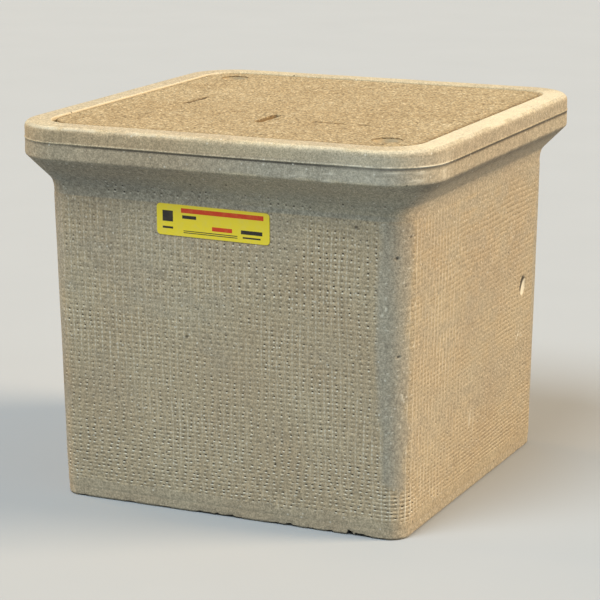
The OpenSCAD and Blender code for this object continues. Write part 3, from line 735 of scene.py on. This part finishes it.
# height of the wall's face over the drawn wall: a bell-shaped pit and lip in every cell, streaks and rows as
# powers of a cosine, and noise, with the values that the material reads
def clothFace(k, local, z):
    s = k * sideLength + local
    a, b = threadCount(s, z)
    i, j = np.floor(a).astype(int), np.floor(b).astype(int)
    across, up = (a - i - 0.5) * cloth["across"], (b - j - 0.5) * (cloth["rowLow"] + cloth["rowGain"] * z)
    pits, upright, level, dash = clothStrength(k, local, s, z)
    fromNear = np.abs(s - sideHalf)
    group = np.clip(0.5 + 1.2 * swell(s / 26, z / 8, 62), 0, 1)
    bare = ease(pits, 0, 0.3) * (1 - ease(z, *limits["bareTop"]))   # bare threads low on the near corner
    bare *= ease(fromNear + 4 * swell(s / 5, z / 6, 67), *limits["bareSide"])
    each = (0.6 + 0.5 * ease(chance(i, j, 57) + 0.6 * group + 0.3 * dash - 0.28, 0, 0.8)) * pits
    upright = upright * (0.25 + 0.75 * ease(swell(np.round(a) * 0.73, z / 8, 64), -0.6, 0.6))
    level = level * (0.25 + 0.75 * ease(swell(s / 15, j * 0.61, 65), -0.6, 0.6))
    upright, level = upright + 0.7 * bare, level + 1.6 * bare
    pit = each * np.exp(-(across / cloth["pitAcross"]) ** 2 - (up / cloth["pitUp"]) ** 2)
    lipAway = ((across + cloth["lipShift"]) / cloth["lipAcross"]) ** 2
    lip = each * np.exp(-lipAway - ((up + cloth["lipDrop"]) / cloth["lipUp"]) ** 2)
    streak = upright * np.maximum(0, np.cos(2 * math.pi * a)) ** 2
    rowLine = level * np.maximum(0, np.cos(2 * math.pi * (b - 0.6))) ** 3
    face = cloth["base"] - cloth["pitDepth"] * pit + cloth["lipRise"] * lip
    face += cloth["streakRise"] * streak - cloth["rowDrop"] * rowLine
    face += cloth["grainRise"] * rough(s / 2.6, z / 2.6, 60) * (0.4 + pits)
    edge = ease(z, clothBand["low"], clothBand["low"] + 7)
    edge *= 1 - ease(z, clothBand["high"] - 6, clothBand["high"])
    face = sway(s, z, castWaves) + face * edge - cloth["edgeDrop"] * (1 - edge)
    weave = np.clip(np.maximum(pits + 0.5 * upright + 0.5 * level, 0.7 * (1 - ease(z, 18, 30))), 0, 1)
    if k == 0:   # flat under the label
        u, v = np.abs(local - label["along"]) - label["width"] / 2, np.abs(z - labelZ) - label["height"] / 2
        off = ease(np.maximum(u, v), 0.5, 2.5)
        face = face * off - cloth["underLabel"] * (1 - off)
    shaded, paled = np.zeros_like(face), np.zeros_like(face)
    fleck = ease(swell(s / 1.7, z / 2.1, 68), 0.74, 0.9) * (1 - ease(fromNear, *limits["fleckSide"]))
    fleck *= ease(z, *limits["fleckLow"])
    if k == rightWall["side"]:
        fleck += ease(swell(s / 2.2, z / 2.2, 69), 0.4, 0.7) * ovalPatch(local, z, brightBits, 0.4)
        rubbed = ease(swell(s / 1.9, z / 12, 63), -0.1, 0.7) * ovalPatch(local, z, rubbedPatch, 0.6)
        fleck += rubbedPatch["share"] * rubbed
    if k == gouge["side"]:
        broken, nearSide = gougeBowl(local, z)
        face = face * (1 - ease(broken, 0, 0.2)) - gouge["depth"] * broken
        paled = ease(broken, 0.05, 0.3)
        # painted shade on the gouge's near side
        shaded = paled * nearSide
        each, upright, level = each * (1 - paled), upright * (1 - paled), level * (1 - paled)
    away = np.hypot(s[..., None] - pinholes[:, 0], z[..., None] - pinholes[:, 1]) / pinholes[:, 2]
    hole = np.clip(pinhole["edge"] - away.min(-1), 0, 1)
    face = face - pinhole["depth"] * hole
    # painted shade in the pinholes
    shaded = np.maximum(shaded, hole)
    run = face * 0 + (k == rightWall["side"])
    return face, dict(
        pit=shaded, lip=1.4 * paled * (1 - shaded) + fleck, weave=weave, wear=face * 0, threadA=a, threadB=b,
        each=each, upright=upright, level=level, dash=dash, run=run)


# points of a wall at a rise over its drawn face
def wallPoints(centre, outward, z, rise):
    flat = centre * reach + outward * (wallOut(z) + rise)[..., None]
    return np.concatenate([flat, z[..., None]], -1).reshape(-1, 3)


# each wall is a slab: its face, a strip round the edge to a loop behind, and a fan that closes the back
alongSteps = np.linspace(-sideHalf, sideHalf, cloth["cols"])
upSteps = np.linspace(clothBand["low"], clothBand["high"], cloth["rows"])
for k, side in enumerate(("front", "right", "back", "left")):
    local, z = np.meshgrid(alongSteps, upSteps)
    face, values = clothFace(k, local, z)
    centre, outward = girth(k * sideLength + np.clip(local, -sideHalf + 1e-6, sideHalf - 1e-6))
    front, behind = (wallPoints(centre, outward, z, rise) for rise in (face, cloth["back"]))
    loop = borderLoop(np.arange(local.size).reshape(local.shape))
    backLoop = local.size + np.arange(len(loop))
    middle = np.full(len(loop), local.size + len(loop))
    points = np.concatenate([front, behind[loop], [behind[loop].mean(0)]])
    strip = np.stack([np.roll(loop, -1), loop, backLoop, np.roll(backLoop, -1)], -1)
    fan = np.stack([np.roll(backLoop, -1), backLoop, middle], -1)
    more = np.zeros(len(loop) + 1)
    putPiece("cloth_wall_" + side, points, [gridFaces(*local.shape), strip, fan], clothMaterial,
             "box", 75, {key: np.append(value, more) for key, value in values.items()})
print("cloth walls made")


# Shelves across two inner corners that the nut clips sit on

lug = dict(top=ledgeZ - 2.5, thick=18.0, reach=14.0, hole=13.9, sunk=4.7, blunt=7.0, bevel=0.5)


# a plate with a round hole: a four-sided outline and a circle at the same angles, joined over the top,
# down the outside, under and up the hole
def lugPoints(corner):
    toWall = innerReach + cast["innerCorner"] + cast["draft"] * lug["top"] / flareZ - boltOffset
    wallLine = (toWall + lug["sunk"]) * math.sqrt(2)
    outline = np.array([
        (-lug["reach"], -lug["reach"] - wallLine), (wallLine - lug["blunt"], -lug["blunt"]),
        (wallLine - lug["blunt"], lug["blunt"]), (-lug["reach"], lug["reach"] + wallLine)])
    steps = np.linspace(0, 1, 24, endpoint=False)[:, None]
    edge = np.concatenate([p * (1 - steps) + q * steps for p, q in zip(outline, np.roll(outline, -1, 0))])
    angle = np.arctan2(edge[:, 1], edge[:, 0])
    hole = lug["hole"] / 2 * np.stack([np.cos(angle), np.sin(angle)], -1)
    top, bevelZ, bottom = lug["top"], lug["top"] - lug["bevel"], lug["top"] - lug["bevel"] - lug["thick"]
    rows = [
        (hole, bevelZ), (hole * 1.08, top), (edge * 0.985, top),
        (edge, bevelZ), (edge, bottom), (hole, bottom)]
    made = np.stack([np.column_stack([flat, np.full(len(flat), z)]) for flat, z in rows])
    c, d = math.cos(corner), math.sin(corner)
    turned = made.copy()
    turned[..., 0] = made[..., 0] * c - made[..., 1] * d + boltOffset * math.copysign(1, c)
    turned[..., 1] = made[..., 0] * d + made[..., 1] * c + boltOffset * math.copysign(1, d)
    return turned


for name, corner in (("front_right", -math.pi / 4), ("rear_left", 3 * math.pi / 4)):
    points = lugPoints(corner)
    flat = np.zeros(points.shape[:2])
    putPiece("corner_lug_" + name, points, [gridFaces(*points.shape[:2], True, True)], castMaterial,
             "box", 40, dict(weave=flat + 0.35, wear=flat, pit=flat, lip=flat))
print("corner lugs made")


# The cover's gritty face: a thin slab of grains over the flat cover, open at the bolt recesses and the slot

grit = dict(
    cells=206, inset=0.4, low=0.7, rise=1.0, under=1.0, jitter=0.3, lipGap=0.5, rings=4, cornerGap=5.0,
    recessPatch=(15.0, 15.0), slotPatch=(8.0, 24.0), grain=1.7, fineGrain=1.3, patch=24, edgeSmooth=(0.5, 4))
coverTop = coverHigh[2]
half = coverHigh[0] - grit["inset"]
corner = pocketOut + grit["cornerGap"] - grit["inset"]

# strokes scraped in the face: start, end, half width and depth
scrapes = [
    ((-96, -24), (-95.5, 14), 1.9, 1.5), ((41, -69), (65, -70.5), 2.2, 1.3), ((78, -69), (84, -68), 1.8, 1.2)]


# grains: two sizes of noise, rounded to bumps, less in the scrapes and at the edges
def gritFace(x, y):
    bumps = 0.55 * swell(x / grit["grain"], y / grit["grain"], 71)
    bumps += 0.45 * swell(x / grit["fineGrain"] + 9, y / grit["fineGrain"], 72)
    bumps += 0.1 * rough(x / grit["patch"], y / grit["patch"], 73)
    fromEdge = half - np.maximum(np.abs(x), np.abs(y))
    value = np.clip(0.5 + 0.6 * bumps, 0, 1) * (0.3 + 0.7 * ease(fromEdge, *grit["edgeSmooth"]))
    for start, end, wide, depth in scrapes:
        a, b = np.array(start, float), np.array(end, float)
        t = np.clip(((x - a[0]) * (b - a)[0] + (y - a[1]) * (b - a)[1]) / np.sum((b - a) ** 2), 0, 1)
        gap = np.hypot(x - a[0] - t * (b - a)[0], y - a[1] - t * (b - a)[1])
        patchy = 0.7 + 0.3 * swell(x / 4, y / 4, 74)
        value = value - depth * (1 - ease(gap, wide * 0.5, wide + 0.7)) * patchy
    return np.clip(value, -0.3, 1)


lines = np.linspace(-half, half, grit["cells"] + 1)
x, y = np.meshgrid(lines, lines)
number = np.arange(x.size).reshape(x.shape)
keep = np.ones((grit["cells"], grit["cells"]), bool)
jitter = grit["jitter"] * (lines[1] - lines[0])
inside = (np.abs(x) < half - 0.1) & (np.abs(y) < half - 0.1)
tableRow, tableCol = number % tableSize, number // tableSize % tableSize
x = x + np.where(inside, jitter * (2 * randomTable[tableRow, tableCol] - 1), 0)
y = y + np.where(inside, jitter * (2 * randomTable[tableCol, tableRow] - 1), 0)

# points past a corner's round are drawn in to it, and squares left flat by that are dropped
ux, uy = np.abs(x) - (half - corner), np.abs(y) - (half - corner)
far = np.hypot(ux, uy)
past = (ux > 0) & (uy > 0) & (far > corner)
safe = np.where(past, far, 1)
x = np.where(past, np.sign(x) * (half - corner + ux / safe * corner), x)
y = np.where(past, np.sign(y) * (half - corner + uy / safe * corner), y)
keep &= ~(past[:-1, :-1] & past[1:, :-1] & past[:-1, 1:] & past[1:, 1:])

flatPoints, faces = [np.stack([x.ravel(), y.ravel()], -1)], []


# cuts a square hole in the grid and fills it with rings from the hole's edge to the grid
def openRing(middle, spread, rimOf):
    first = [np.searchsorted(lines, m - w) - 1 for m, w in zip(middle, spread)]
    last = [np.searchsorted(lines, m + w) for m, w in zip(middle, spread)]
    keep[first[1]:last[1], first[0]:last[0]] = False
    loop = borderLoop(number[first[1]:last[1] + 1, first[0]:last[0] + 1])
    outside = flatPoints[0][loop]
    inner = rimOf(outside - middle) + middle
    share = np.linspace(0, 1, grit["rings"] + 1)[:-1, None, None]
    ring = inner[None] * (1 - share) + outside[None] * share
    start = sum(len(p) for p in flatPoints)
    ringNumbers = start + np.arange(grit["rings"] * len(loop)).reshape(grit["rings"], -1)
    numbers = np.concatenate([ringNumbers, loop[None]])
    flatPoints.append(ring.reshape(-1, 2))
    faces.append(numbers.ravel()[gridFaces(*numbers.shape, False, True)])


# a circle in each point's direction
def roundRim(offset):
    return offset / np.linalg.norm(offset, axis=1)[:, None] * (holes["recess"] / 2 + grit["lipGap"])


# a slot with round ends: a point of its middle line at four fifths of each point's way along it, and then out
# by half the slot's width
def slotRim(offset):
    straight = (holes["slotLong"] - holes["slotWide"]) / 2
    onLine = np.stack([np.zeros(len(offset)), np.clip(offset[:, 1] * 0.8, -straight, straight)], -1)
    away = offset - onLine
    return onLine + away / np.linalg.norm(away, axis=1)[:, None] * (holes["slotWide"] / 2 + grit["lipGap"])


openRing((boltOffset, -boltOffset), grit["recessPatch"], roundRim)
openRing((-boltOffset, boltOffset), grit["recessPatch"], roundRim)
openRing((0.0, holes["slotY"]), grit["slotPatch"], slotRim)
faces.append(gridFaces(*number.shape)[keep.ravel()])
flat, faces = np.concatenate(flatPoints), np.concatenate(faces)
count = len(flat)

# the edges that only one square uses are the sheet's border
sides = np.concatenate([faces[:, [0, 1]], faces[:, [1, 2]], faces[:, [2, 3]], faces[:, [3, 0]]])
key = np.sort(sides, 1)
_, firstUse, uses = np.unique(key[:, 0] * count + key[:, 1], return_index=True, return_counts=True)
border = sides[firstUse[uses == 1]]
value = gritFace(flat[:, 0], flat[:, 1])
value[np.unique(border)] *= 0.6

# only the points in use are kept, once for the top and once for the underside
used = np.unique(faces)
newNumber = np.full(count, -1)
newNumber[used] = np.arange(len(used))
topFaces, topBorder = newNumber[faces], newNumber[border]
total = len(used)
top = np.column_stack([flat, coverTop + grit["low"] + grit["rise"] * value])[used]
bottom = np.column_stack([flat, np.full(count, coverTop - grit["under"])])[used]
strip = np.column_stack([topBorder[:, ::-1], topBorder + total])
gritSkin = putPiece("cover_grit", np.concatenate([top, bottom]), [topFaces, topFaces[:, ::-1] + total, strip],
                    gritMaterial, "cover", 80,
                    dict(grit=np.concatenate([value[used], value[used] * 0])))
print("cover grit:", len(gritSkin.data.polygons), "faces")


# Bolts with a rolled thread and a turned hexagon head

bolt = dict(
    across=14.3, headHeight=6.0, diameter=9.5, pitch=1.5875, threadDepth=0.72, plain=12.0, runOut=3.0,
    cone=30.0, turned=0.4, chamfer=1.2, round=36, perPitch=6, middle=0.02)


# distance to a hexagon's flat in each direction, held inside a cone at the top
def hexRadius(angle, below):
    sector = (angle + math.pi / 6) % (math.pi / 3) - math.pi / 6
    flatSide = bolt["across"] / 2 / np.cos(sector)
    slope = math.tan(math.radians(bolt["cone"]))
    return np.minimum(flatSide, bolt["across"] / 2 - bolt["turned"] + below / slope)


# a screw thread: the depth is a rounded saw of the height less the share of a turn
def boltPoints(low, high, x, y):
    angle = np.linspace(0, 2 * math.pi, bolt["round"], endpoint=False)
    headZ = high - bolt["headHeight"]
    plainZ = headZ - bolt["plain"]
    shank = np.linspace(low, headZ - 0.3, int((headZ - low) / bolt["pitch"] * bolt["perPitch"]))
    a, z = np.meshgrid(angle, shank)
    phase = (z / bolt["pitch"] - a / (2 * math.pi)) % 1
    depth = bolt["threadDepth"] * np.clip(1.15 - 2.6 * np.abs(phase - 0.5), 0, 1)
    depth *= 1 - ease(z, plainZ, plainZ + bolt["runOut"])
    radius = np.minimum(bolt["diameter"] / 2 - depth, bolt["diameter"] / 2 - bolt["chamfer"] + (z - low))
    below = np.array([bolt["headHeight"], 4.5, 3.0, 1.8, 1.2, 0.7, 0.3, 0.0])
    headAngle, headBelow = np.meshgrid(angle, below)
    head = hexRadius(headAngle, headBelow)
    rings = np.concatenate([
        radius[:1] * bolt["middle"], radius, head, head[-1:] * 0.5, head[-1:] * bolt["middle"]])
    levels = np.concatenate([
        np.full((1, bolt["round"]), low), z, high - headBelow, np.full((2, bolt["round"]), high)])
    return np.stack([x + rings * np.cos(angle), y + rings * np.sin(angle), levels], -1)


for name, sign in (("front_right", 1), ("rear_left", -1)):
    low, high = (np.array(c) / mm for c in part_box("cover_bolt_" + name))
    points = boltPoints(low[2], high[2], sign * boltOffset, -sign * boltOffset)
    numbers = np.arange(points.shape[0] * bolt["round"]).reshape(-1, bolt["round"])
    boltFaces = [gridFaces(*numbers.shape, False, True), numbers[:1], numbers[-1:, ::-1]]
    made = putPiece("threaded_bolt_" + name, points, boltFaces, stainlessMaterial,
                    name + "_bolt", 35)
    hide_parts("cover_bolt_" + name)
print("bolts made")


# Label print: plain fields of colour on the yellow film, each by its middle, width and height

prints = dict(
    label_print_red=(redPrint, [(8.0, 8.2, 70.0, 3.6), (8.0, -4.0, 17.0, 3.2)]),
    label_print_dark=(darkPrint, [
        (-20.0, 3.2, 12.0, 2.6), (33.0, -4.0, 18.0, 3.0), (33.0, -8.2, 15.0, 1.2), (-38.5, 3.0, 9.0, 8.5),
        (-38.5, -6.0, 9.0, 1.6), (-2.0, -7.6, 46.0, 0.6), (-2.0, -9.0, 46.0, 0.6)]))
inkLayers = [label["thick"] + 0.05, label["thick"] - 0.1]   # just over the film's face and inside it
lean = math.atan2(cast["draft"], flareZ)
turn = math.radians(-label["turn"])


# a point of the label's plane, given along, up and out from its middle, turned and then leant with the wall
def onLabel(u, v, w):
    along, up = u * math.cos(turn) - v * math.sin(turn), u * math.sin(turn) + v * math.cos(turn)
    return np.stack([
        label["along"] + along,
        -(reach + wallOut(labelZ)) - w * math.cos(lean) - up * math.sin(lean),
        labelZ + up * math.cos(lean) - w * math.sin(lean)], -1)


boxQuads = np.array([(0, 1, 2, 3), (7, 6, 5, 4), (0, 4, 5, 1), (1, 5, 6, 2), (2, 6, 7, 3), (3, 7, 4, 0)])
for name, (material, fields) in prints.items():
    corners, quads = [], []
    for order, (u, v, wide, tall) in enumerate(fields):
        us = u + wide / 2 * np.array([-1, 1, 1, -1] * 2)
        vs = v + tall / 2 * np.array([-1, -1, 1, 1] * 2)
        corners.append(onLabel(us, vs, np.repeat(inkLayers, 4)))
        quads.append(boxQuads + 8 * order)
    putPiece(name, np.concatenate(corners), [np.concatenate(quads)], material, "box", 30)
print("label print made")


# Plain pieces that keep their solids and take a finish

finishes = [
    ("cover", coverMaterial), ("lift_pin", stainlessMaterial), ("wall_label", yellowFilm),
    ("bolt_washer_front_right", stainlessMaterial), ("bolt_washer_rear_left", stainlessMaterial),
    ("clip_nut_front_right", stainlessMaterial), ("clip_nut_rear_left", stainlessMaterial),
    ("nut_clip_front_right", clipMaterial), ("nut_clip_rear_left", clipMaterial)]
for nodeName, material in finishes:
    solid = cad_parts[nodeName]
    solid.data.materials.clear()
    solid.data.materials.append(material)
print("plain pieces finished")


# Floor, light and camera

studio = dict(
    floorHalf=6, floorDark=(170, 171, 171), floorLight=(174, 175, 175), floorUnseen=(118, 131, 146),
    wall=(196, 197, 197), sky=(0.82, 0.95, 1.0, 1), skyStrength=0.36, lampAway=3)
scene = bpy.context.scene


# 1 for a ray that shows the background: from the camera, off gloss or through glass
def shownRay(tree):
    path = add(tree, "ShaderNodeLightPath").outputs
    bent = sums(tree, "MAXIMUM", path["Is Glossy Ray"], path["Is Transmission Ray"])
    return sums(tree, "MAXIMUM", path["Is Camera Ray"], bent)


floorMaterial, floorTree, floorShader = startMaterial("studio_floor", Roughness=0.9)
mottle = grain(floorTree, place(floorTree), 6, 2)
floorTone = mixTone(floorTree, mottle, tone(*studio["floorDark"]), tone(*studio["floorLight"]))
# less light is thrown up under the rim than a floor as pale as it looks would throw
floorTone = mixTone(floorTree, shownRay(floorTree), tone(*studio["floorUnseen"]), floorTone)
floorTree.links.new(floorTone, floorShader.inputs["Base Color"])
floorMesh = bpy.data.meshes.new("studio_floor")
f = studio["floorHalf"]
floorMesh.from_pydata([(-f, -f, 0), (f, -f, 0), (f, f, 0), (-f, f, 0)], [], [(0, 1, 2, 3)])
floorMesh.materials.append(floorMaterial)
floor = bpy.data.objects.new("studio_floor", floorMesh)
scene.collection.objects.link(floor)

world = bpy.data.worlds.new("studio")
scene.world = world
world.use_nodes = True
worldTree = world.node_tree
sky = worldTree.nodes["Background"]
sky.inputs["Color"].default_value = studio["sky"]
sky.inputs["Strength"].default_value = studio["skyStrength"]
back = add(worldTree, "ShaderNodeBackground", Color=tone(*studio["wall"]), Strength=1.0)
shaders = dict(in0=shownRay(worldTree), in1=sky.outputs[0], in2=back.outputs[0])
choose = add(worldTree, "ShaderNodeMixShader", **shaders)
worldTree.links.new(choose.outputs[0], worldTree.nodes["World Output"].inputs["Surface"])


# turns that point a lamp's or camera's -Z axis back along a direction, with its X axis level
def lookBack(way):
    return (math.acos(way[2]), 0, math.atan2(way[0], -way[1]))


# a far soft lamp that shines from a direction, with its apparent width in degrees
def lamp(name, direction, strength, width, colour):
    data = bpy.data.lights.new(name, "SUN")
    data.energy, data.angle, data.color = strength, math.radians(width), colour
    made = bpy.data.objects.new(name, data)
    scene.collection.objects.link(made)
    way = np.array(direction, float) / np.linalg.norm(direction)
    made.location = way * studio["lampAway"]
    made.rotation_euler = lookBack(way)


lamp("key", (0.80, 0.28, 0.54), 3.4, 24, (1.0, 0.81, 0.58))
lamp("overhead", (-0.16, -0.52, 0.85), 2.6, 32, (0.84, 0.96, 1.06))
lamp("edge", (-0.92, 0.10, 0.36), 1.1, 30, (1.0, 0.58, 0.16))

view = dict(
    azimuth=24.88, elevation=13.13, distance=1.9249, height=0.1525, focalPixels=2331.84, widthPixels=600,
    sensor=36.0, shiftX=-0.00902, shiftY=-0.01945, roll=-0.19)
az, el = math.radians(view["azimuth"]), math.radians(view["elevation"])
way = np.array([math.sin(az) * math.cos(el), -math.cos(az) * math.cos(el), math.sin(el)])
cameraData = bpy.data.cameras.new("photo_view")
cameraData.sensor_width = view["sensor"]
cameraData.lens = view["focalPixels"] / view["widthPixels"] * view["sensor"]
cameraData.shift_x, cameraData.shift_y = view["shiftX"], view["shiftY"]
camera = bpy.data.objects.new("photo_view", cameraData)
scene.collection.objects.link(camera)
camera.location = way * view["distance"] + np.array([0, 0, view["height"]])
camera.rotation_euler = lookBack(way)
camera.rotation_euler.rotate_axis("Z", math.radians(view["roll"]))
scene.camera = camera
scene.view_settings.view_transform = "Standard"
print("studio ready")
